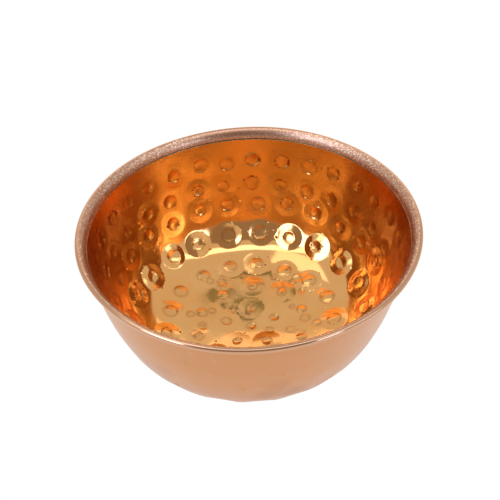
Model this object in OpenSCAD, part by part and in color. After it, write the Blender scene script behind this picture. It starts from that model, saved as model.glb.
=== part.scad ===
// Hammered copper bowl, raised from one sheet, its lip flared and turned over a wire.
// Millimetres, +Z up. The origin is the middle of the underside of the base.

/* [Bowl] */
// Outside diameter over the rolled edge
rim_d = 120; // [96:1:160]
// Overall height
height = 53; // [44:1:70]
// Diameter of the flat underside
base_d = 28; // [20:1:40]
// Thickness of the sheet
sheet = 1.0; // [0.8:0.1:1.6]
// How far the wall keeps running outward from the base before it climbs
base_pull = 32.3; // [26:0.1:38]
// How far down the straight upper part of the wall reaches
wall_pull = 38.3; // [30:0.1:40]
// Lean of the upper wall from upright, in degrees
wall_lean = 10.7; // [6:0.1:18]

/* [Lip] */
// How far the rolled edge stands out past the inside of the wall
lip_w = 3.7; // [3:0.1:6]
// Height of the flare, from its crease to the top
lip_h = 3.7; // [3:0.1:6]
// Slope of the flare where it meets the roll, in degrees from level
lip_slope = 35; // [20:1:50]
// Diameter of the wire in the rolled edge
wire_d = 0.8; // [0.6:0.1:1.4]
// Thickness of the sheet where it is drawn thin round the wire
edge_wall = 0.6; // [0.5:0.1:0.8]
// Gap between the wire and the sheet rolled tight round it
wire_gap = 0; // [0:0.01:0.05]

/* [Hammer marks] */
// Width of one mark
mark_d = 5; // [3:0.25:6]
// Depth of one mark
mark_depth = 0.35; // [0.2:0.05:0.5]
// Marks in each ring on the base, from the middle outward
base_marks = [5];
// Marks in each ring on the wall, from the base upward
wall_marks = [10, 17, 21, 25, 28, 30];

/* [Hidden] */
$fn = 96;

// Where each ring lies: a share of the base's radius, or of the wall's curve
base_ring_at = [0.72];
wall_ring_at = [0.074, 0.239, 0.481, 0.687, 0.802, 0.912];
// How far each ring is turned, in degrees
base_turn = [20];
wall_turn = [52, 104, 100, 84, 87, 86];
curve_steps = 20;
lip_steps = 6;
// Length of the flare curve's handles, as a share of its span
flare_ease = 0.36;
under_ease = 0.18;

rim_r = rim_d / 2;
base_r = base_d / 2;
bead_r = wire_d / 2 + wire_gap + edge_wall;
bead_at = [rim_r - bead_r, height - bead_r];
mark_r = (pow(mark_d / 2, 2) + pow(mark_depth, 2)) / (2 * mark_depth);

// Directions up the wall and square to it, outward, at the crease
wall_dir = [sin(wall_lean), cos(wall_lean)];
wall_out = [cos(wall_lean), -sin(wall_lean)];
crease_in = [rim_r - lip_w, height - lip_h];
crease_out = crease_in + sheet * wall_out;

// The outside of the wall is one curve: level at the base, leaning at the crease
wall_ctrl = [[base_r, 0], [base_r + base_pull, 0], crease_out - wall_pull * wall_dir, crease_out];

// Where the flare's upper side runs onto the roll, and its lower side under it
land_dir = [cos(lip_slope), sin(lip_slope)];
land_top = bead_at + bead_r * [-sin(lip_slope), cos(lip_slope)];
land_low = bead_at + bead_r * [-cos(lip_slope), -sin(lip_slope)];
flare_span = norm(land_top - crease_in);
top_pull = flare_ease * flare_span;
low_pull = under_ease * flare_span;
top_ctrl = [crease_in, crease_in + top_pull * wall_dir, land_top - top_pull * land_dir, land_top];
low_ctrl = [crease_out, crease_out + low_pull * wall_dir, land_low - low_pull * wall_out, land_low];

function curve(c, t) =
    pow(1 - t, 3) * c[0] + 3 * t * pow(1 - t, 2) * c[1]
    + 3 * pow(t, 2) * (1 - t) * c[2] + pow(t, 3) * c[3];
function heading(c, t) =
    let (d = pow(1 - t, 2) * (c[1] - c[0]) + 2 * t * (1 - t) * (c[2] - c[1])
        + pow(t, 2) * (c[3] - c[2]))
    d / norm(d);
function inward(c, t) = let (d = heading(c, t)) [-d[1], d[0]];
function wall_inside(t) = curve(wall_ctrl, t) + sheet * inward(wall_ctrl, t);
function steps(n) = [for (i = [0:n]) i / n];
function reversed(list) = [for (i = [len(list) - 1:-1:0]) list[i]];

// Half section of the sheet, without its rolled edge
module sheet_section() {
    outside = [for (t = steps(curve_steps)) curve(wall_ctrl, t)];
    under_lip = [for (t = steps(lip_steps)) curve(low_ctrl, t)];
    over_lip = [for (t = steps(lip_steps)) curve(top_ctrl, t)];
    inside = [for (t = steps(curve_steps)) wall_inside(t)];
    skin = concat(outside, under_lip, [bead_at], reversed(over_lip), reversed(inside));
    polygon(concat([[0, 0]], skin, [[0, sheet]]));
}

// One ball mark sunk into the inside at a point, square to the surface
module mark(at, square) {
    centre = at + (mark_r - mark_depth) * square;
    translate([centre[0], 0, centre[1]]) sphere(r = mark_r);
}

module ring_of_marks(count, turn, at, square) {
    for (i = [0:count - 1])
        rotate(turn + i * 360 / count) mark(at, square);
}

module hammer_marks() {
    mark([0, sheet], [0, 1]);
    for (k = [0:len(base_marks) - 1])
        ring_of_marks(base_marks[k], base_turn[k], [base_r * base_ring_at[k], sheet], [0, 1]);
    for (k = [0:len(wall_marks) - 1]) {
        t = wall_ring_at[k];
        ring_of_marks(wall_marks[k], wall_turn[k], wall_inside(t), inward(wall_ctrl, t));
    }
}

module bowl_shell() {
    color("#c98a5e") difference() {
        rotate_extrude() difference() {
            union() {
                sheet_section();
                translate(bead_at) circle(r = bead_r);
            }
            translate(bead_at) circle(r = wire_d / 2 + wire_gap);
        }
        hammer_marks();
    }
}

module rim_wire() {
    color("#b8734a") rotate_extrude() translate(bead_at) circle(d = wire_d);
}

bowl_shell();
rim_wire();
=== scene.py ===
"""Looks of a hammered copper bowl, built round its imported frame.

The bowl is raised from one sheet: struck all over from the inside with a ball hammer, plain on the
outside, and flared at the lip, where the edge is rolled over a wire. Lengths are in metres.
"""

from __future__ import annotations

import logging
import math
from dataclasses import dataclass, field
from enum import Enum
from typing import Any, Sequence

import bmesh
import bpy
import numpy as np
from mathutils import Matrix, Vector

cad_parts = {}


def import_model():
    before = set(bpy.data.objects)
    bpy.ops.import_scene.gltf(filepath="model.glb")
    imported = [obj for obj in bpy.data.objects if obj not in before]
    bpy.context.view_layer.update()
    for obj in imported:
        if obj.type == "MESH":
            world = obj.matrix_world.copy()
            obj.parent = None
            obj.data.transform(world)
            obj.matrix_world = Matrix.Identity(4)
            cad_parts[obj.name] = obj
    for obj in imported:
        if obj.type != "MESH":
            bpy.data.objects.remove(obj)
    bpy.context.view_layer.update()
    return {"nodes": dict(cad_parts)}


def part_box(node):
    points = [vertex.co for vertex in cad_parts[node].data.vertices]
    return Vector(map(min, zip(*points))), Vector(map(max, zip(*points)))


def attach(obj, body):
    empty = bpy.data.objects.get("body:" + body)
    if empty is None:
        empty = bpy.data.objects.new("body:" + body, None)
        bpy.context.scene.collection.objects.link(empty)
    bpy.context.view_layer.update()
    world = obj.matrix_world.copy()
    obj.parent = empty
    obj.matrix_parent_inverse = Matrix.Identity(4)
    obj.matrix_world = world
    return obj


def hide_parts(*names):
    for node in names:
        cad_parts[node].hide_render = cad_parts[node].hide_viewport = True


LOG = logging.getLogger("bowl")
MM = 0.001
TINY = 1e-12

Span = tuple[float, float]
Triple = tuple[float, float, float]
Colour = tuple[float, float, float, float]


class Zone(Enum):
    """The stretches of the sheet's half section, in the order that the section runs."""

    BASE_INSIDE = "base inside"
    WALL_INSIDE = "wall inside"
    FLARE = "flare"
    ROLL = "roll"
    ROLL_END = "roll end"
    WIRE_BED = "wire bed"
    UNDER_LIP = "under lip"
    WALL_OUTSIDE = "wall outside"
    BASE_OUTSIDE = "base outside"


# ---------------------------------------------------------------- shape of the sheet


def eased(share: np.ndarray) -> np.ndarray:
    """Turns an even run from 0 to 1 into one that starts and ends gently."""
    return share * share * (3 - 2 * share)


def bezier(ctrl: Sequence[np.ndarray], share: np.ndarray) -> np.ndarray:
    """Points on a cubic curve.

    Args:
        ctrl: The four control points, each (radius, height).
        share: Where along the curve, from 0 to 1.

    Returns:
        One row (radius, height) for each share.
    """
    t = np.asarray(share, dtype=float)[:, None]
    u = 1 - t
    return u**3 * ctrl[0] + 3 * u * u * t * ctrl[1] + 3 * u * t * t * ctrl[2] + t**3 * ctrl[3]


def bezier_square(ctrl: Sequence[np.ndarray], share: np.ndarray) -> np.ndarray:
    """Unit vectors square to a cubic curve, on its left.

    Args:
        ctrl: The four control points, each (radius, height).
        share: Where along the curve, from 0 to 1.

    Returns:
        One unit row for each share.
    """
    t = np.asarray(share, dtype=float)[:, None]
    u = 1 - t
    first, second, third = ctrl[1] - ctrl[0], ctrl[2] - ctrl[1], ctrl[3] - ctrl[2]
    way = u * u * first + 2 * u * t * second + t * t * third
    way /= np.linalg.norm(way, axis=1)[:, None]
    return np.column_stack([-way[:, 1], way[:, 0]])


def arc(centre: np.ndarray, radius: float, start: float, end: float, count: int) -> np.ndarray:
    """Points on a round stretch of the section.

    Args:
        centre: The arc's centre, (radius, height).
        radius: The arc's own radius.
        start: Angle of the first point, in degrees from outward.
        end: Angle of the last point, in degrees.
        count: Number of points.

    Returns:
        One row (radius, height) for each point.
    """
    turn = np.radians(np.linspace(start, end, count))
    return centre + radius * np.column_stack([np.cos(turn), np.sin(turn)])


def on_circle(spots: np.ndarray, turns: np.ndarray) -> np.ndarray:
    """Turns section points (radius, height) round the axis into points in space."""
    radius, height = spots[:, 0], spots[:, 1]
    return np.column_stack([radius * np.cos(turns), radius * np.sin(turns), height])


@dataclass
class Section:
    """Half section of the sheet, from the middle of the inside round the lip to the middle below.

    Points run so that the metal is always on the right, and the open air on the left.
    """

    rim_radius: float
    height: float
    base_radius: float = 14 * MM
    sheet: float = 1 * MM
    base_pull: float = 32.3 * MM
    wall_pull: float = 38.3 * MM
    wall_lean: float = 10.7
    lip_width: float = 3.7 * MM
    lip_height: float = 3.7 * MM
    lip_slope: float = 35.0
    wire_radius: float = 0.4 * MM
    wire_gap: float = 0.02 * MM
    edge_wall: float = 0.58 * MM
    roll_end: float = -131.0
    lip_pull: float = 0.36
    sag: float = 0.45 * MM
    swell: float = 0.95 * MM
    swell_at: float = 25 * MM
    swell_end: float = 46 * MM
    probe: float = 0.5 * MM
    fine: int = 400
    zones: dict[Zone, Span] = field(default_factory=dict)

    def __post_init__(self) -> None:
        """Joins the zones and works out the distance along the section of each point."""
        points: list[np.ndarray] = []
        squares: list[np.ndarray] = []
        along: list[np.ndarray] = []
        travelled = 0.0
        for zone, run in self._runs().items():
            dense = self._thicken(run)
            steps = np.linalg.norm(np.diff(dense, axis=0), axis=1)
            way = np.gradient(dense, axis=0)
            way /= np.linalg.norm(way, axis=1)[:, None]
            here = travelled + np.concatenate([[0.0], np.cumsum(steps)])
            self.zones[zone] = (here[0], here[-1])
            points.append(dense)
            squares.append(np.column_stack([-way[:, 1], way[:, 0]]))
            along.append(here)
            travelled = here[-1]
        self._points = np.vstack(points)
        self._squares = np.vstack(squares)
        self._along = np.concatenate(along)
        self.length = travelled

    def _runs(self) -> dict[Zone, np.ndarray]:
        """Works out the outline from the sizes.

        Returns:
            The points of each zone, in the order that the section runs.
        """
        lean = math.radians(self.wall_lean)
        slope = math.radians(self.lip_slope)
        up_wall = np.array([math.sin(lean), math.cos(lean)])
        off_wall = np.array([math.cos(lean), -math.sin(lean)])
        along_lip = np.array([math.cos(slope), math.sin(slope)])
        off_lip = np.array([-math.sin(slope), math.cos(slope)])
        bed_radius = self.wire_radius + self.wire_gap
        roll_radius = bed_radius + self.edge_wall
        roll = np.array([self.rim_radius - roll_radius, self.height - roll_radius])
        crease_in = np.array([self.rim_radius - self.lip_width, self.height - self.lip_height])
        crease_out = crease_in + self.sheet * off_wall
        base_edge = np.array([self.base_radius, 0.0])
        wall = [
            base_edge,
            base_edge + [self.base_pull, 0],
            crease_out - self.wall_pull * up_wall,
            crease_out,
        ]
        over = roll + roll_radius * off_lip
        under = roll + bed_radius * off_lip
        pull = self.lip_pull * np.linalg.norm(over - crease_in)
        flare = [crease_in, crease_in + pull * up_wall, over - pull * along_lip, over]
        below = [crease_out, crease_out + pull * up_wall, under - pull * along_lip, under]
        share = np.linspace(0, 1, self.fine)
        inside = bezier(wall, share) + self.sheet * bezier_square(wall, share)
        floor = np.column_stack([share * inside[0, 0], np.full(self.fine, self.sheet)])
        for run in (inside, floor):
            run[:, 1] += self._sagging(run[:, 0])
        landing = 90 + self.lip_slope
        bed = arc(roll, bed_radius, self.roll_end, landing, self.fine)
        turned = arc(roll, roll_radius, landing, self.roll_end, self.fine)
        return {
            Zone.BASE_INSIDE: floor,
            Zone.WALL_INSIDE: inside,
            Zone.FLARE: bezier(flare, share),
            Zone.ROLL: turned,
            Zone.ROLL_END: np.array([turned[-1], bed[0]]),
            Zone.WIRE_BED: bed,
            Zone.UNDER_LIP: bezier(below, share)[::-1],
            Zone.WALL_OUTSIDE: bezier(wall, share)[::-1],
            Zone.BASE_OUTSIDE: np.array([base_edge, [0.0, 0.0]]),
        }

    def _sagging(self, radius: np.ndarray) -> np.ndarray:
        """How much higher than an even sheet the hammered inside is.

        Args:
            radius: Distances from the axis.

        Returns:
            The height to add at each.
        """
        out = np.sin(np.clip(radius / self.swell_at, 0, 1) * math.pi / 2) ** 2
        back = eased(np.clip((radius - self.swell_at) / (self.swell_end - self.swell_at), 0, 1))
        return (self.sag + self.swell) * out - self.sag * (1 - back) - self.swell * back

    def _thicken(self, run: np.ndarray) -> np.ndarray:
        """Gives a straight run as many points as a curved one.

        Args:
            run: The points of one zone.

        Returns:
            The same run, with points all along it.
        """
        if len(run) > 2:
            return run
        share = np.linspace(0, 1, self.fine)[:, None]
        return run[0] * (1 - share) + run[1] * share

    def at(self, along: np.ndarray) -> tuple[np.ndarray, np.ndarray]:
        """Where the section is, and which way it faces, at distances along it.

        Args:
            along: Distances from the middle of the inside.

        Returns:
            The points (radius, height), and the unit vectors that leave the metal there.
        """
        spots = np.column_stack([np.interp(along, self._along, self._points[:, k]) for k in (0, 1)])
        faces = np.column_stack([np.interp(along, self._along, self._squares[:, k]) for k in (0, 1)])
        return spots, faces / np.linalg.norm(faces, axis=1)[:, None]

    def wall_along(self, share: float) -> float:
        """Distance along the section of a place on the wall, inside the bowl.

        Args:
            share: The place, from 0 at the base to 1 at the lip's crease.

        Returns:
            The distance from the middle of the inside.
        """
        start, _ = self.zones[Zone.WALL_INSIDE]
        inside = self._along[self._along >= start][: self.fine]
        return float(np.interp(share, np.linspace(0, 1, self.fine), inside))

    def bend(self, along: float) -> float:
        """How strongly the sheet is curved, along the section and round the axis together.

        Args:
            along: Distance along the section.

        Returns:
            The sum of the two curvatures.
        """
        _, faces = self.at(np.array([along - self.probe, along + self.probe]))
        spots, face = self.at(np.array([along]))
        lengthwise = np.linalg.norm(faces[1] - faces[0]) / (2 * self.probe)
        around = -face[0, 0] / max(spots[0, 0], self.probe)
        return float(lengthwise + around)

    def stations(self, spacing: dict[Zone, float]) -> np.ndarray:
        """Distances along the section at which the mesh has a ring of points.

        Args:
            spacing: About how far apart the rings are in each zone.

        Returns:
            The distances, from the middle of the inside to the middle below.
        """
        marks = [0.0]
        for zone, (start, end) in self.zones.items():
            count = max(1, round((end - start) / spacing[zone]))
            marks.extend(start + (end - start) * (k + 1) / count for k in range(count))
        return np.array(marks)


# ---------------------------------------------------------------- hammer marks


@dataclass(frozen=True)
class Mark:
    """One blow: a round flat in the curved sheet, with a crisp dish or low boss in its middle."""

    along: float
    turn: float
    flat_radius: float
    flat_rise: float
    dish_radius: float
    dish_step: float
    dish_hollow: float
    tilt: float
    tilt_way: float


@dataclass
class HammerWork:
    """The blows that shape the sheet, in rings from the middle of the base up to the lip.

    A ring's place is a share of the base's radius or of the wall's curve. Its flat and its dish
    are shares of the full ones, and a dish under 0 is a boss. Low inside, faint touches lie
    between the rings.
    """

    section: Section
    base_ring: tuple[float, ...] = (0.0, 0.72)
    base_count: tuple[int, ...] = (1, 5)
    base_turn: tuple[float, ...] = (0, 20)
    base_flat: tuple[float, ...] = (1.0, 1.0)
    base_dish: tuple[float, ...] = (0.6, 0.6)
    wall_ring: tuple[float, ...] = (0.074, 0.239, 0.481, 0.687, 0.802, 0.912)
    wall_count: tuple[int, ...] = (10, 17, 21, 25, 28, 30)
    wall_turn: tuple[float, ...] = (52, 104, 100, 84, 87, 86)
    wall_flat: tuple[float, ...] = (1.0, 1.3, 2.0, 1.2, 0.9, 0.7)
    wall_dish: tuple[float, ...] = (-0.6, -1.3, 1.6, 1.3, 1.1, 1.0)
    flat_radius: float = 5.5 * MM
    flat_vary: Span = (0.94, 1.06)
    flat_uneven: float = 0.06 * MM
    dish_radius: float = 2.5 * MM
    dish_vary: Span = (0.88, 1.16)
    dish_step: float = 0.04 * MM
    step_vary: Span = (0.75, 1.2)
    dish_hollow: float = 0.20 * MM
    hollow_vary: Span = (0.6, 1.3)
    small_reach: float = 27 * MM
    small_share: float = 0.72
    touch_count: int = 34
    touch_reach: float = 31 * MM
    touch_spread: Span = (0.01, 1)
    touch_flat: Span = (0.5, 0.9)
    touch_uneven: float = 0.036 * MM
    touch_dish: Span = (0.4, 0.8)
    touch_hollow: float = 0.07 * MM
    touch_tilt: float = 1.75
    step_width: float = 0.45 * MM
    crease: float = 0.12
    crease_outside: float = 0.48
    felt_outside: float = 0.4
    fade_reach: float = 1.7
    # Share of painted shade in each dish's middle, against 1 along its edge.
    dish_middle_shade: float = 0.2
    tilt: float = 3.5
    stray: float = 0.5 * MM
    near_axis: float = 1 * MM
    seed: int = 7

    def marks(self) -> list[Mark]:
        """The blows, each a little off its place and of its own weight.

        Returns:
            One Mark for each blow, ring by ring, and then the touches.
        """
        draw = np.random.default_rng(self.seed)
        rings = [self.section.base_radius * share for share in self.base_ring]
        rings += [self.section.wall_along(share) for share in self.wall_ring]
        counts = self.base_count + self.wall_count
        turns = self.base_turn + self.wall_turn
        flats = self.base_flat + self.wall_flat
        dishes = self.base_dish + self.wall_dish
        found = []
        for ring, count, turn, flat, dish in zip(rings, counts, turns, flats, dishes):
            places = (turn + 360 * k / count for k in range(count))
            found.extend(self._blow(draw, ring, place, flat, dish) for place in places)
        found.extend(self._touch(draw) for _ in range(self.touch_count))
        return found

    def _blow(self, draw: np.random.Generator, ring: float, turn: float,
              flat: float, dish: float) -> Mark:
        """One mark of a ring.

        Args:
            draw: What the small differences come from.
            ring: The ring's distance along the section.
            turn: The mark's angle round the axis, in degrees.
            flat: Share of the full flat.
            dish: Share of the full dish, or less than 0 for a boss.

        Returns:
            The mark.
        """
        radius_there = max(self.section.at(np.array([ring]))[0][0, 0], self.near_axis)
        off_along, off_turn = draw.normal(0, self.stray, 2)
        step, width = draw.uniform(*self.step_vary), draw.uniform(*self.dish_vary)
        radius = self.flat_radius * draw.uniform(*self.flat_vary)
        rise = flat * self.section.bend(ring) * radius**2 / 4
        small = self.small_share if ring < self.small_reach else 1
        return Mark(
            along=max(ring + off_along, 0.0),
            turn=math.radians(turn) + off_turn / radius_there,
            flat_radius=radius,
            flat_rise=rise + draw.normal(0, self.flat_uneven),
            dish_radius=self.dish_radius * width * small,
            dish_step=math.copysign(self.dish_step * step, dish),
            dish_hollow=self.dish_hollow * dish * draw.uniform(*self.hollow_vary),
            tilt=math.tan(math.radians(abs(draw.normal(0, self.tilt)))),
            tilt_way=draw.uniform(0, math.tau),
        )

    def _touch(self, draw: np.random.Generator) -> Mark:
        """One faint touch, anywhere low inside.

        Args:
            draw: What its place and its weight come from.

        Returns:
            The mark.
        """
        return Mark(
            along=self.touch_reach * math.sqrt(draw.uniform(*self.touch_spread)),
            turn=draw.uniform(0, math.tau),
            flat_radius=self.flat_radius * draw.uniform(*self.touch_flat),
            flat_rise=draw.normal(0, self.touch_uneven),
            dish_radius=self.dish_radius * draw.uniform(*self.touch_dish),
            dish_step=0.0,
            dish_hollow=self.touch_hollow * draw.uniform(-1, 1),
            tilt=math.tan(math.radians(abs(draw.normal(0, self.touch_tilt)))),
            tilt_way=draw.uniform(0, math.tau),
        )

    def centres(self) -> tuple[list[Mark], np.ndarray, np.ndarray]:
        """The blows and the places on the smooth sheet where they land.

        Returns:
            The marks, one row (x, y, z) for each, and the way that each dish is tilted.
        """
        marks = self.marks()
        spots, faces = self.section.at(np.array([m.along for m in marks]))
        turns = np.array([m.turn for m in marks])
        square = on_circle(faces, turns)
        around = np.column_stack([-np.sin(turns), np.cos(turns), np.zeros(len(turns))])
        ways = np.array([[m.tilt_way] for m in marks])
        tilts = around * np.cos(ways) + np.cross(square, around) * np.sin(ways)
        return marks, on_circle(spots, turns), tilts * np.array([[m.tilt] for m in marks])

    def dish_crease_shade(self, smooth: np.ndarray) -> np.ndarray:
        """How much painted shade each point of the smooth sheet gets from the dishes' edges and middles.

        Args:
            smooth: Points of the smooth sheet, one row (x, y, z) each.

        Returns:
            1 at a dish's edge, less in its middle, and 0 away from the dishes.
        """
        share = np.zeros(len(smooth))
        for mark, centre, _ in zip(*self.centres()):
            away = np.linalg.norm(smooth - centre, axis=1)
            edge = np.exp(-(((away - mark.dish_radius) / self.step_width) ** 2))
            middle = self.dish_middle_shade * (away < mark.dish_radius)
            share = np.maximum(share, np.maximum(edge, middle))
        return share

    def sink(self, smooth: np.ndarray, inner: np.ndarray) -> np.ndarray:
        """How far the blows push each point of the sheet, out of the bowl's inside.

        Args:
            smooth: Points of the smooth sheet, one row (x, y, z) each.
            inner: True for the points on the inside.

        Returns:
            The depth at each point: the whole mark inside, and only its flat outside.
        """
        depth = np.zeros(len(smooth))
        reach = self.fade_reach * self.flat_radius
        for mark, centre, tilt in zip(*self.centres()):
            close = np.flatnonzero(np.abs(smooth - centre).max(axis=1) < reach)
            inside = inner[close]
            offset = smooth[close] - centre
            away = np.linalg.norm(offset, axis=1)
            soft = np.where(inside, self.crease, self.crease_outside)
            lift = 1 - (away / mark.flat_radius) ** 2
            fade = np.clip(1 - (away / reach) ** 2, 0, None) ** 2
            fade = np.where(lift > 0, 1, fade)
            flat = 0.5 * (lift + np.sqrt(lift * lift + soft * soft)) * fade
            share = eased(np.clip((mark.dish_radius - away) / self.step_width + 0.5, 0, 1))
            hollow = mark.dish_hollow * (1 - (away / mark.dish_radius) ** 2)
            dish = mark.dish_step + hollow + offset @ tilt
            felt = np.where(inside, 1.0, self.felt_outside)
            depth[close] += np.where(inside, share * dish, 0) - mark.flat_rise * flat * felt
        return depth


@dataclass(frozen=True)
class Wave:
    """A slow wave round the bowl: how many times it rises, how strongly, and from what angle."""

    count: int
    strength: float
    start: float

    def at(self, turns: np.ndarray) -> np.ndarray:
        """The wave's height at each angle."""
        return self.strength * np.sin(self.count * turns + self.start)


@dataclass
class HandRaising:
    """How far a bowl made by hand is from a true solid of revolution."""

    height: float
    lip_drop: float = 4 * MM
    sideways: float = 0.65 * MM
    settle: float = 18 * MM
    wall_wave: float = 0.16 * MM
    wall_waves: tuple[Wave, ...] = (Wave(3, 1.0, 0.7), Wave(5, 0.6, 2.1))
    rim_wave: float = 0.12 * MM
    rim_waves: tuple[Wave, ...] = (Wave(2, 1.0, 0.4), Wave(5, 0.7, 1.3))
    rim_low: float = 1.2
    rim_share: int = 6

    def move(self, points: np.ndarray, turns: np.ndarray) -> np.ndarray:
        """Moves true points to where the hand-made sheet has them.

        Args:
            points: True points, one row (x, y, z) each.
            turns: Angle of each point round the axis.

        Returns:
            The moved points, none of them under the base.
        """
        z = points[:, 2]
        down = eased(np.clip((self.height - self.lip_drop - z) / self.settle, 0, 1))
        up = np.clip(z / self.height, 0, 1)
        swell = self.wall_wave * np.sin(np.pi * up) * sum(wave.at(turns) for wave in self.wall_waves)
        rim = sum(wave.at(turns) for wave in self.rim_waves) - self.rim_low
        lift = self.rim_wave * up**self.rim_share * rim
        moved = points.copy()
        moved[:, 0] += swell * np.cos(turns) - self.sideways * down
        moved[:, 1] += swell * np.sin(turns)
        moved[:, 2] = np.maximum(moved[:, 2] + lift, 0)
        return moved


# ---------------------------------------------------------------- the bowl


@dataclass
class BowlShell:
    """The raised sheet: base, hammered wall, flared lip and rolled edge, as one closed mesh."""

    section: Section
    hammer: HammerWork
    hand: HandRaising
    segments: int = 288
    weld: float = 0.001 * MM
    nudge: float = 0.02 * MM
    near_axis: float = 0.5 * MM
    pole: float = 0.01 * MM
    refine_above: float = 0.5 * MM
    grained_over: float = 0.5 * MM
    fine_reach: float = 0.45 * MM
    crease_reach: float = 0.35 * MM
    crease_from: float = 0.12 * MM
    spacing: dict[Zone, float] = field(
        default_factory=lambda: {
            Zone.BASE_INSIDE: 1.1 * MM,
            Zone.WALL_INSIDE: 0.88 * MM,
            Zone.FLARE: 0.38 * MM,
            Zone.ROLL: 0.26 * MM,
            Zone.ROLL_END: 0.6 * MM,
            Zone.WIRE_BED: 0.26 * MM,
            Zone.UNDER_LIP: 0.6 * MM,
            Zone.WALL_OUTSIDE: 2 * MM,
            Zone.BASE_OUTSIDE: 3.5 * MM,
        }
    )

    def build(self, name: str) -> bpy.types.Object:
        """Makes the sheet.

        Args:
            name: The piece's name.

        Returns:
            The new object.
        """
        bm = bmesh.new()
        along = bm.verts.layers.float.new("along")
        self._spin(bm, along)
        self._refine(bm)
        mesh = bpy.data.meshes.new(name)
        self._strike(bm, along, mesh)
        bm.free()
        piece = bpy.data.objects.new(name, mesh)
        bpy.context.collection.objects.link(piece)
        return piece

    def _spin(self, bm: bmesh.types.BMesh, along: Any) -> None:
        """Draws the half section and spins it into the smooth sheet.

        Args:
            bm: The empty bmesh to fill.
            along: The layer for each point's distance along the section.
        """
        stations = self.section.stations(self.spacing)
        spots, _ = self.section.at(stations)
        chain = []
        for station, (radius, height) in zip(stations, spots):
            vert = bm.verts.new((radius, 0, height))
            vert[along] = station
            chain.append(vert)
        edges = [bm.edges.new(pair) for pair in zip(chain, chain[1:])]
        bmesh.ops.spin(
            bm,
            geom=chain + edges,
            cent=(0, 0, 0),
            axis=(0, 0, 1),
            dvec=(0, 0, 0),
            angle=math.tau,
            steps=self.segments,
            use_merge=True,
            use_duplicate=False,
        )
        bmesh.ops.remove_doubles(bm, verts=bm.verts, dist=self.weld)
        bmesh.ops.recalc_face_normals(bm, faces=bm.faces)

    def _refine(self, bm: bmesh.types.BMesh) -> None:
        """Cuts the faces finer where the edge of a dish or of a flat crosses them.

        Args:
            bm: The smooth sheet.
        """
        faces = [f for f in bm.faces if f.calc_center_median().z > self.refine_above]
        middles = np.array([f.calc_center_median() for f in faces])
        chosen = np.zeros(len(faces), dtype=bool)
        for mark, centre, _ in zip(*self.hammer.centres()):
            away = np.linalg.norm(middles - centre, axis=1)
            if mark.dish_step:
                chosen |= np.abs(away - mark.dish_radius) < self.fine_reach
            if mark.flat_rise > self.crease_from:
                chosen |= np.abs(away - mark.flat_radius) < self.crease_reach
        crossed = [face for face, use in zip(faces, chosen) if use]
        wanted = dict.fromkeys(edge for face in crossed for edge in face.edges)
        bmesh.ops.subdivide_edges(bm, edges=list(wanted), cuts=1, use_grid_fill=True)
        bmesh.ops.triangulate(bm, faces=[f for f in bm.faces if len(f.verts) > 4])

    def _strike(self, bm: bmesh.types.BMesh, along: Any, mesh: bpy.types.Mesh) -> None:
        """Moves every point to its hammered place and gives the mesh its true normals.

        Args:
            bm: The smooth sheet.
            along: The layer with each point's distance along the section.
            mesh: The mesh to fill.
        """
        where = np.array([v[along] for v in bm.verts])
        flat = np.array([v.co[:2] for v in bm.verts])
        radius, turns = np.hypot(flat[:, 0], flat[:, 1]), np.arctan2(flat[:, 1], flat[:, 0])
        for vert, place in zip(bm.verts, self._place(where, turns)):
            vert.co = place
        bm.to_mesh(mesh)
        mesh.polygons.foreach_set("use_smooth", [True] * len(mesh.polygons))
        self._mark_zones(mesh, where, turns)
        squares = self._squares(where, radius, turns)
        mesh.normals_split_custom_set_from_vertices(squares.tolist())

    def _squares(self, where: np.ndarray, radius: np.ndarray, turns: np.ndarray) -> np.ndarray:
        """Which way the struck sheet faces.

        Args:
            where: Distance along the section of each point.
            radius: How far each point of the smooth sheet is from the axis.
            turns: Angle of each point round the axis.

        Returns:
            One unit row (x, y, z) for each point, square to the sheet.
        """
        step = self.nudge / np.maximum(radius, self.near_axis)
        fore, back = self._place(where + self.nudge, turns), self._place(where - self.nudge, turns)
        left, right = self._place(where, turns + step), self._place(where, turns - step)
        square = np.cross(fore - back, left - right)
        square /= np.maximum(np.linalg.norm(square, axis=1), TINY)[:, None]
        poles = radius < self.pole
        upward = np.where(where[poles] < self.section.length / 2, 1.0, -1.0)
        square[poles] = np.column_stack([np.zeros((len(upward), 2)), upward])
        return square

    def _mark_zones(self, mesh: bpy.types.Mesh, where: np.ndarray, turns: np.ndarray) -> None:
        """Writes on the mesh where each finish lies, for the material to read.

        Args:
            mesh: The sheet's mesh.
            where: Distance along the section of each point.
            turns: Angle of each point round the axis.
        """
        flare_start, flare_end = self.section.zones[Zone.FLARE]
        _, under_end = self.section.zones[Zone.UNDER_LIP]
        grained_end = flare_end + self.grained_over
        spots, _ = self.section.at(where)
        layers = {
            "inner": where < flare_end,
            "lip": (where > flare_start) & (where < grained_end),
            "rolled": (where > grained_end) & (where < under_end),
            # Where painted shade darkens the dish edges, and more faintly their middles.
            "dish_crease_shade": self.hammer.dish_crease_shade(on_circle(spots, turns)),
        }
        for name, share in layers.items():
            layer = mesh.attributes.new(name, "FLOAT", "POINT")
            layer.data.foreach_set("value", share.astype(float))

    def _place(self, where: np.ndarray, turns: np.ndarray) -> np.ndarray:
        """Where the finished sheet has its points.

        Args:
            where: Distance along the section of each point.
            turns: Angle of each point round the axis.

        Returns:
            One row (x, y, z) for each point.
        """
        where = np.clip(where, 0, self.section.length)
        spots, faces = self.section.at(where)
        inner = where < self.section.zones[Zone.FLARE][1]
        depth = self.hammer.sink(on_circle(spots, turns), inner)
        push = np.where(inner, -depth, depth)
        struck = on_circle(spots + faces * push[:, None], turns)
        return self.hand.move(struck, turns)


# ---------------------------------------------------------------- shader building


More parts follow.
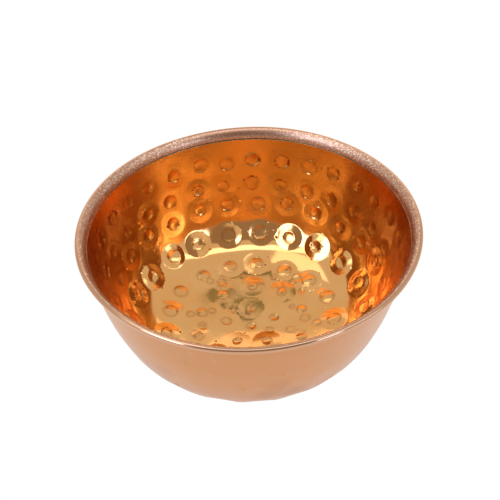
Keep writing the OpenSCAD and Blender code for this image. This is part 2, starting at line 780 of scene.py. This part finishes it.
@dataclass(frozen=True)
class Edge:
    """A soft step in a value: its middle, and how far it reaches on each side."""

    middle: float
    soft: float


@dataclass(frozen=True)
class Noise:
    """Smooth noise: its scale, how many layers it has, and how rough the fine ones make it."""

    scale: float
    layers: float = 2.0
    rough: float = 0.5


class Shade:
    """A shader socket that can be used in Python arithmetic."""

    def __init__(self, graph: Graph, socket: Any) -> None:
        """Keeps the socket and the graph it is in."""
        self.graph = graph
        self.socket = socket

    def _math(self, operation: str, *values: Any) -> Shade:
        """Adds a Math node."""
        return self.graph.node("ShaderNodeMath", {"operation": operation}, dict(enumerate(values)))

    def __add__(self, other: Any) -> Shade:
        """Sum."""
        return self._math("ADD", self, other)

    __radd__ = __add__

    def __sub__(self, other: Any) -> Shade:
        """Difference."""
        return self._math("SUBTRACT", self, other)

    def __rsub__(self, other: Any) -> Shade:
        """Difference, with this socket taken away."""
        return self._math("SUBTRACT", other, self)

    def __mul__(self, other: Any) -> Shade:
        """Product."""
        return self._math("MULTIPLY", self, other)

    __rmul__ = __mul__

    def __truediv__(self, other: Any) -> Shade:
        """Quotient."""
        return self._math("DIVIDE", self, other)

    def __rtruediv__(self, other: Any) -> Shade:
        """Quotient, with this socket as what it is divided by."""
        return self._math("DIVIDE", other, self)

    def above(self, edge: Edge) -> Shade:
        """1 where the value is over an edge, and 0 where it is under.

        Args:
            edge: The soft step between the two.

        Returns:
            The step.
        """
        settings = {"interpolation_type": "SMOOTHSTEP", "clamp": True}
        values = {
            "Value": self,
            "From Min": edge.middle - edge.soft,
            "From Max": edge.middle + edge.soft,
        }
        return self.graph.node("ShaderNodeMapRange", settings, values)

    def below(self, edge: Edge) -> Shade:
        """1 where the value is under an edge, and 0 where it is over."""
        return 1 - self.above(edge)


class Graph:
    """The node tree of one material."""

    def __init__(self, name: str) -> None:
        """Starts an empty tree in a new material.

        Args:
            name: The material's name.
        """
        self.material = bpy.data.materials.new(name)
        self.material.use_nodes = True
        self.tree = self.material.node_tree
        self.tree.nodes.clear()

    def node(self, kind: str, settings: dict[str, Any] | None = None,
             values: dict[Any, Any] | None = None, output: int | str = 0) -> Shade:
        """Adds a node.

        Args:
            kind: The node's type.
            settings: Its properties, set first.
            values: What each input socket holds or is linked from.
            output: Which output the result stands for.

        Returns:
            The chosen output.
        """
        made = self.tree.nodes.new(kind)
        for key, setting in (settings or {}).items():
            setattr(made, key, setting)
        for key, value in (values or {}).items():
            if isinstance(value, Shade):
                self.tree.links.new(value.socket, made.inputs[key])
            else:
                made.inputs[key].default_value = value
        return Shade(self, made.outputs[output] if len(made.outputs) else None)

    def place(self) -> Shade:
        """The point's place on the piece."""
        return self.node("ShaderNodeTexCoord", output="Object")

    def axis(self, vector: Shade, name: str) -> Shade:
        """One part of a vector."""
        return self.node("ShaderNodeSeparateXYZ", values={"Vector": vector}, output=name)

    def noise(self, vector: Shade, noise: Noise) -> Shade:
        """Smooth noise from 0 to 1."""
        values = {"Vector": vector, "Scale": noise.scale, "Detail": noise.layers, "Roughness": noise.rough}
        return self.node("ShaderNodeTexNoise", values=values)

    def cells(self, vector: Shade, scale: float, output: str = "Distance") -> Shade:
        """Distance to the nearest of many scattered points, or that point's own colour."""
        values = {"Vector": vector, "Scale": scale}
        return self.node("ShaderNodeTexVoronoi", values=values, output=output)

    def mapped(self, vector: Shade, scale: Triple, turn: Triple = (0, 0, 0)) -> Shade:
        """A vector stretched and turned."""
        values = {"Vector": vector, "Scale": scale, "Rotation": turn}
        return self.node("ShaderNodeMapping", values=values)

    def mix(self, share: Any, first: Any, second: Any) -> Shade:
        """A colour between two others."""
        values = {0: share, 6: first, 7: second}
        return self.node("ShaderNodeMix", {"data_type": "RGBA"}, values, output=2)

    def painted(self, name: str) -> Shade:
        """A value that the mesh carries."""
        return self.node("ShaderNodeAttribute", {"attribute_name": name}, output="Fac")

    def metal(self, colour: Shade, roughness: Shade, relief: Shade,
              height: float) -> bpy.types.Material:
        """Ends the tree in a metal surface.

        Args:
            colour: The metal's colour.
            roughness: Its roughness.
            relief: Fine height.
            height: The real height that a relief of 1 stands for.

        Returns:
            The finished material.
        """
        bumps = {"Height": relief, "Strength": 1.0, "Distance": height}
        normal = self.node("ShaderNodeBump", values=bumps)
        values = {"Base Color": colour, "Roughness": roughness, "Metallic": 1.0, "Normal": normal}
        surface = self.node("ShaderNodeBsdfPrincipled", values=values)
        self.node("ShaderNodeOutputMaterial", values={"Surface": surface})
        LOG.info("finish %s", self.material.name)
        return self.material


@dataclass(frozen=True)
class Colours:
    """The copper's colours, clean, aged and worn, and the dark tones used as painted shade."""

    bright: Colour = (0.87, 0.46, 0.165, 1)
    warm: Colour = (0.86, 0.42, 0.135, 1)
    aged: Colour = (0.74, 0.345, 0.09, 1)
    # Painted shade on the left and right sides of the upper inner wall.
    side_shade: Colour = (0.58, 0.25, 0.075, 1)
    # Dark tone for real blots, also used as painted shade at the dish edges and low on the outside.
    stain_and_shade: Colour = (0.36, 0.13, 0.04, 1)
    pit: Colour = (0.10, 0.035, 0.015, 1)
    satin: Colour = (0.60, 0.275, 0.115, 1)
    rolled: Colour = (0.62, 0.35, 0.21, 1)
    lip: Colour = (0.52, 0.27, 0.17, 1)
    lip_worn: Colour = (0.86, 0.62, 0.45, 1)


@dataclass(frozen=True)
class Patterns:
    """How fine each pattern on the copper is."""

    clouds: Noise = Noise(55, 3)
    blots: Noise = Noise(48, 2, 0.4)
    patches: Noise = Noise(260)
    fine: Noise = Noise(700, 3, 0.6)
    grain: Noise = Noise(1500, 2, 0.65)
    brushed: Noise = Noise(900)
    brushed_scale: Triple = (1, 9, 9)
    brushed_turn: Triple = (0.3, 0.5, 0.9)
    crossed: Noise = Noise(1000)
    crossed_scale: Triple = (8, 1, 8)
    crossed_turn: Triple = (0.9, 0.2, 0.4)
    drawn: Noise = Noise(400)
    drawn_scale: Triple = (1, 1, 30)
    specks: float = 150


@dataclass(frozen=True)
class Edges:
    """Where each pattern and each finish starts or stops.

    Heights are shares of the bowl's, and sideways places are shares of the two distances.
    """

    # Sideways distance that the painted side shade on the upper inner wall is measured against.
    side_shade_from: float = 38 * MM
    calm_from: float = 54.5 * MM
    clouds: Edge = Edge(0.5, 0.2)
    high: Edge = Edge(0.58, 0.22)
    high_clouds: float = 0.3
    # Where the painted side shade starts, and how much the clouds move its edge.
    side_shade: Edge = Edge(1.0, 0.4)
    side_shade_clouds: float = 0.2
    calm: Edge = Edge(1.0, 0.07)
    # Painted shade on the outside: it fades out upwards from the bottom, as a share of the height.
    low: Edge = Edge(0.3, 0.3)
    blots: Edge = Edge(0.62, 0.06)
    blots_top: Edge = Edge(0.55, 0.2)
    brushed: Edge = Edge(0.68, 0.05)
    crossed: Edge = Edge(0.7, 0.05)
    speck_size: Edge = Edge(0.07, 0.03)
    speck_chosen: Edge = Edge(0.8, 0.02)
    grain: Edge = Edge(0.56, 0.06)
    patches: Edge = Edge(0.45, 0.12)
    under_lip: Edge = Edge(0.84, 0.1)


@dataclass(frozen=True)
class Strengths:
    """How strongly each pattern shows in the colour."""

    # How strongly the painted side shade darkens the upper inner wall.
    side_shade: float = 0.75
    # How strongly the painted shade darkens the dish edges and middles.
    dish_crease_shade: float = 0.42
    # How strongly the painted shade darkens the outside towards the bottom.
    low: float = 0.6
    blots: float = 0.3
    strokes: float = 0.5
    pits: float = 0.85
    calm: float = 0.8


@dataclass(frozen=True)
class Roughness:
    """How rough each part is, and what each pattern adds."""

    polished: float = 0.06
    grained: float = 0.15
    outside: float = 0.27
    rolled: float = 0.08
    rolled_clouds: float = 0.05
    lip: float = 0.28
    lip_calm: float = 0.4
    lip_grain: float = 0.15
    clouds: float = 0.03
    fine: float = 0.03
    strokes: float = 0.05
    pits: float = 0.3
    wire: float = 0.3
    wire_lines: float = 0.12


@dataclass(frozen=True)
class Relief:
    """How high each pattern stands, as a share of the full relief."""

    full: float = 0.012 * MM
    fine: float = 0.2
    strokes: float = -0.12
    pits: float = -1.2
    high_grain: float = 3.2
    patches: float = 2.5
    lip_grain: float = 4
    wire_full: float = 0.01 * MM


@dataclass(frozen=True)
class Masks:
    """Where each finish and each pattern lies on the sheet, from 0 to 1."""

    up: Shade
    inner: Shade
    lip: Shade
    rolled: Shade
    # Painted shade along the dish edges, and more faintly in their middles.
    dish_crease_shade: Shade
    clouds: Shade
    fine: Shade
    strokes: Shade
    pits: Shade
    grain: Shade
    high: Shade
    calm: Shade
    gritty: Shade


@dataclass(frozen=True)
class CopperFinish:
    """Polished copper, with what its making and handling left on it, and painted shade on the inner side
    walls, at the dish edges and low on the outside.
    """

    name: str
    colours: Colours = Colours()
    patterns: Patterns = Patterns()
    edges: Edges = Edges()
    strengths: Strengths = Strengths()
    rough: Roughness = Roughness()
    relief: Relief = Relief()

    def sheet(self, height: float) -> bpy.types.Material:
        """The bowl's own copper: bright inside, satin outside, grained on the lip.

        Args:
            height: The bowl's height.

        Returns:
            The material.
        """
        g = Graph(self.name)
        place = g.place()
        masks = self._masks(g, place, height)
        colour = self._colour(g, place, masks)
        raised = self._raised(g, place, masks)
        return g.metal(colour, self._roughness(masks), raised, self.relief.full)

    def _masks(self, g: Graph, place: Shade, height: float) -> Masks:
        """Works out where each finish and each pattern lies.

        Args:
            g: The material's tree.
            place: The point's place on the piece.
            height: The bowl's height.

        Returns:
            The masks.
        """
        fine, edge = self.patterns, self.edges
        up = g.axis(place, "Z") / height
        inner = g.painted("inner")
        clouds = g.noise(place, fine.clouds)
        brushed = g.noise(g.mapped(place, fine.brushed_scale, fine.brushed_turn), fine.brushed)
        crossed = g.noise(g.mapped(place, fine.crossed_scale, fine.crossed_turn), fine.crossed)
        strokes = brushed.above(edge.brushed) + crossed.above(edge.crossed)
        speck_seed = g.axis(g.cells(place, fine.specks, "Color"), "X")
        speck = g.cells(place, fine.specks).below(edge.speck_size)
        calm = (g.axis(place, "Y") / edge.calm_from).above(edge.calm)
        return Masks(
            up=up,
            inner=inner,
            lip=g.painted("lip"),
            rolled=g.painted("rolled"),
            dish_crease_shade=g.painted("dish_crease_shade"),
            clouds=clouds,
            fine=g.noise(place, fine.fine),
            strokes=strokes * self.strengths.strokes,
            pits=speck * speck_seed.above(edge.speck_chosen) * inner,
            grain=g.noise(place, fine.grain),
            high=(up + clouds * edge.high_clouds).above(edge.high) * inner,
            calm=calm,
            gritty=1 - calm * self.strengths.calm,
        )

    def _colour(self, g: Graph, place: Shade, m: Masks) -> Shade:
        """Works out the colour, with its patina, stains and pits, and painted shade on the inner side
        walls, at the dish edges and low on the outside.

        Args:
            g: The material's tree.
            place: The point's place on the piece.
            m: Where each finish lies.

        Returns:
            The colour.
        """
        tint, edge, strong = self.colours, self.edges, self.strengths
        # Painted shade: the upper inner wall darkens towards its left and right sides.
        across = g.axis(place, "X") / edge.side_shade_from
        side_shade = (across * across + m.clouds * edge.side_shade_clouds).above(edge.side_shade) * m.high
        clean = g.mix(m.clouds.above(edge.clouds), tint.bright, tint.warm)
        aged_and_side_shaded = g.mix(side_shade * strong.side_shade, tint.aged, tint.side_shade)
        # Painted shade: the dish edges and middles are darkened towards the dark stain tone.
        inside = g.mix(m.dish_crease_shade * strong.dish_crease_shade, g.mix(m.high, clean, aged_and_side_shaded), tint.stain_and_shade)
        # Painted shade: the outside darkens towards the bottom.
        low = m.up.below(edge.low) * strong.low
        blots = g.noise(place, self.patterns.blots).above(edge.blots) * m.up.below(edge.blots_top)
        satin_blotched_and_shaded = g.mix(low + blots * strong.blots, tint.satin, tint.stain_and_shade)
        outside = g.mix(m.rolled, satin_blotched_and_shaded, tint.rolled)
        body = g.mix(m.pits * strong.pits, g.mix(m.inner, outside, inside), tint.pit)
        lip = g.mix(m.grain.above(edge.grain) * m.gritty, tint.lip, tint.lip_worn)
        return g.mix(m.lip, body, lip)

    def _roughness(self, m: Masks) -> Shade:
        """Works out the roughness, with its wear.

        Args:
            m: Where each finish lies.

        Returns:
            The roughness.
        """
        rough = self.rough
        inside = m.high * rough.grained + (1 - m.high) * rough.polished
        smooth = m.inner * inside + (1 - m.inner) * rough.outside
        worn = smooth + m.clouds * rough.clouds + m.fine * rough.fine
        worn = worn + m.strokes * rough.strokes + m.pits * rough.pits
        bead = rough.rolled + m.clouds * rough.rolled_clouds
        body = worn * (1 - m.rolled) + m.rolled * bead
        lip = rough.lip * (1 - m.calm * rough.lip_calm) + m.grain * rough.lip_grain
        return body * (1 - m.lip) + m.lip * lip

    def _raised(self, g: Graph, place: Shade, m: Masks) -> Shade:
        """Works out the fine relief: strokes and pits, and grain high inside and on the lip.

        Args:
            g: The material's tree.
            place: The point's place on the piece.
            m: Where each finish lies.

        Returns:
            The height, as a share of the full relief.
        """
        relief, edge = self.relief, self.edges
        worn = m.fine * relief.fine + m.strokes * relief.strokes + m.pits * relief.pits
        worn = worn + m.high * m.grain * relief.high_grain
        patches = g.noise(place, self.patterns.patches).above(edge.patches)
        grainy = m.up.above(edge.under_lip) * m.inner * patches * m.grain * relief.patches
        body = (worn + grainy) * (1 - m.lip) * (1 - m.rolled)
        return body + m.lip * m.grain * relief.lip_grain * m.gritty

    def wire(self) -> bpy.types.Material:
        """Drawn copper wire, with its draw lines.

        Returns:
            The material.
        """
        g = Graph(self.name + "_wire")
        lines = g.noise(g.mapped(g.place(), self.patterns.drawn_scale), self.patterns.drawn)
        colour = g.mix(lines, self.colours.warm, self.colours.bright)
        roughness = self.rough.wire + lines * self.rough.wire_lines
        return g.metal(colour, roughness, lines, self.relief.wire_full)


# ---------------------------------------------------------------- studio


@dataclass(frozen=True)
class Panel:
    """A flat panel, placed round the bowl and facing it."""

    name: str
    azimuth: float
    elevation: float
    distance: float
    width: float
    height: float


@dataclass(frozen=True)
class Softbox(Panel):
    """A soft light."""

    glow: float
    tint: Triple


@dataclass(frozen=True)
class Card(Panel):
    """A card of an even brightness that the metal reflects and the camera doesn't see."""

    glow: Triple


@dataclass
class Studio:
    """The pale floor, the soft light and the camera."""

    bowl_height: float
    aimed_at: float = 0.6
    boxes: tuple[Softbox, ...] = (
        Softbox("strip", 0, 76, 0.8, 2.6, 0.17, 2.1, (0.72, 0.86, 1)),
        Softbox("left", -53, 36, 0.8, 0.32, 0.36, 5.5, (0.5, 0.66, 1)),
        Softbox("right", 43, 25, 0.8, 0.2, 0.2, 5.5, (0.5, 0.66, 1)),
        Softbox("back", 180, 27, 0.9, 0.9, 0.45, 0.62, (1, 0.80, 0.60)),
        Softbox("window", -112, 66, 0.9, 0.45, 0.4, 1.05, (0.95, 0.97, 1)),
    )
    cards: tuple[Card, ...] = (
        Card("onlooker", 0, 36, 0.5, 0.60, 0.40, (0.35, 0.30, 0.27)),
        Card("lamp", 184, 58.5, 0.8, 0.14, 0.05, (0.20, 0.24, 0.15)),
        Card("stand", 178, 51, 0.8, 0.05, 0.05, (0.20, 0.24, 0.15)),
    )
    sky: float = 0.75
    mirror_bounces: int = 10
    floor_radius: float = 4.0
    floor_glow: float = 1.02
    camera_spot: Triple = (0, -231.7 * MM, 243.6 * MM)
    camera_aim: Triple = (0.26 * MM, 0, 39.67 * MM)
    camera_roll: float = -2.51
    lens: float = 62.27
    sensor: float = 36.0
    near: float = 10 * MM

    def __post_init__(self) -> None:
        """Works out the point that the lights face."""
        self.target = Vector((0, 0, self.bowl_height * self.aimed_at))

    def build(self) -> None:
        """Makes the whole studio."""
        bpy.context.scene.view_settings.view_transform = "Standard"
        bpy.context.scene.cycles.glossy_bounces = self.mirror_bounces
        self._floor()
        self._sky()
        for box in self.boxes:
            self._softbox(box)
        for card in self.cards:
            self._card(card)
        self._camera()

    def _away(self, azimuth: float, elevation: float, distance: float) -> Vector:
        """A point round the target.

        Args:
            azimuth: Its direction in degrees: 0 is in front, and 90 on the right.
            elevation: How far up it is, in degrees.
            distance: How far from the target.

        Returns:
            The point.
        """
        a, e = math.radians(azimuth), math.radians(elevation)
        way = Vector((math.sin(a) * math.cos(e), -math.cos(a) * math.cos(e), math.sin(e)))
        return self.target + way * distance

    def _facing(self, spot: Vector) -> Matrix:
        """A placement at a spot that looks at the target."""
        turn = (self.target - spot).to_track_quat("-Z", "Y").to_matrix().to_4x4()
        return Matrix.Translation(spot) @ turn

    def _softbox(self, box: Softbox) -> None:
        """Makes one soft light.

        Args:
            box: Its size, place and colour.
        """
        data = bpy.data.lights.new(box.name, "AREA")
        data.shape = "RECTANGLE"
        data.size, data.size_y = box.width, box.height
        data.energy = box.glow * math.pi * box.width * box.height
        data.color = box.tint
        light = bpy.data.objects.new(box.name, data)
        light.matrix_world = self._facing(self._away(box.azimuth, box.elevation, box.distance))
        bpy.context.collection.objects.link(light)

    def _card(self, card: Card) -> None:
        """Makes one card.

        Args:
            card: Its size, place and brightness.
        """
        bm = bmesh.new()
        bmesh.ops.create_grid(bm, x_segments=1, y_segments=1, size=0.5)
        bmesh.ops.scale(bm, vec=(card.width, card.height, 1), verts=bm.verts)
        spot = self._away(card.azimuth, card.elevation, card.distance)
        bmesh.ops.transform(bm, matrix=self._facing(spot), verts=bm.verts)
        thing = self._stage(bm, card.name, self._glowing(card.name, card.glow))
        thing.visible_camera = False
        thing.visible_shadow = False
        thing.visible_diffuse = False

    def _glowing(self, name: str, glow: Sequence[float]) -> bpy.types.Material:
        """A material of an even brightness.

        Args:
            name: The material's name.
            glow: Its red, green and blue brightness.

        Returns:
            The material.
        """
        g = Graph(name)
        values = {"Base Color": (0, 0, 0, 1), "Roughness": 1.0, "Specular IOR Level": 0.0,
                  "Emission Color": (*glow, 1), "Emission Strength": 1.0}
        surface = g.node("ShaderNodeBsdfPrincipled", values=values)
        g.node("ShaderNodeOutputMaterial", values={"Surface": surface})
        return g.material

    def _floor(self) -> None:
        """Makes the pale floor."""
        bm = bmesh.new()
        bmesh.ops.create_circle(bm, cap_ends=True, segments=64, radius=self.floor_radius)
        self._stage(bm, "floor", self._glowing("pale_floor", (self.floor_glow,) * 3))

    def _stage(self, bm: bmesh.types.BMesh, name: str,
               material: bpy.types.Material) -> bpy.types.Object:
        """Turns a bmesh into a stage object.

        Args:
            bm: The finished shape, freed here.
            name: The object's name.
            material: What it is made of.

        Returns:
            The new object.
        """
        mesh = bpy.data.meshes.new(name)
        bm.to_mesh(mesh)
        bm.free()
        mesh.materials.append(material)
        thing = bpy.data.objects.new(name, mesh)
        bpy.context.collection.objects.link(thing)
        return thing

    def _sky(self) -> None:
        """Lights the room evenly."""
        world = bpy.data.worlds.new("room")
        world.use_nodes = True
        background = world.node_tree.nodes["Background"]
        background.inputs["Color"].default_value = (1, 1, 1, 1)
        background.inputs["Strength"].default_value = self.sky
        bpy.context.scene.world = world

    def _camera(self) -> None:
        """Sets the camera at its place."""
        data = bpy.data.cameras.new("camera")
        data.lens, data.sensor_width, data.clip_start = self.lens, self.sensor, self.near
        camera = bpy.data.objects.new("camera", data)
        spot = Vector(self.camera_spot)
        look = (Vector(self.camera_aim) - spot).to_track_quat("-Z", "Y").to_matrix().to_4x4()
        roll = Matrix.Rotation(math.radians(self.camera_roll), 4, "Z")
        camera.matrix_world = Matrix.Translation(spot) @ look @ roll
        bpy.context.collection.objects.link(camera)
        bpy.context.scene.camera = camera


# ---------------------------------------------------------------- assembly


def main() -> None:
    """Builds the bowl's looks round its frame."""
    logging.basicConfig(level=logging.INFO, format="%(name)s: %(message)s")
    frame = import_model()
    low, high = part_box("bowl_shell")
    section = Section(rim_radius=(high.x - low.x) / 2, height=high.z)
    shell = BowlShell(section, HammerWork(section), HandRaising(section.height))
    finish = CopperFinish("hammered_copper")
    sheet = shell.build("hammered_shell")
    sheet.data.materials.append(finish.sheet(section.height))
    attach(sheet, "root")
    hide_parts("bowl_shell")
    triangles = sum(len(p.vertices) - 2 for p in sheet.data.polygons)
    LOG.info("hammered_shell: %d triangles", triangles)
    wire = frame["nodes"]["rim_wire"]
    wire.data.materials.clear()
    wire.data.materials.append(finish.wire())
    LOG.info("rim_wire: dressed")
    Studio(section.height).build()


if __name__ == "__main__":
    main()
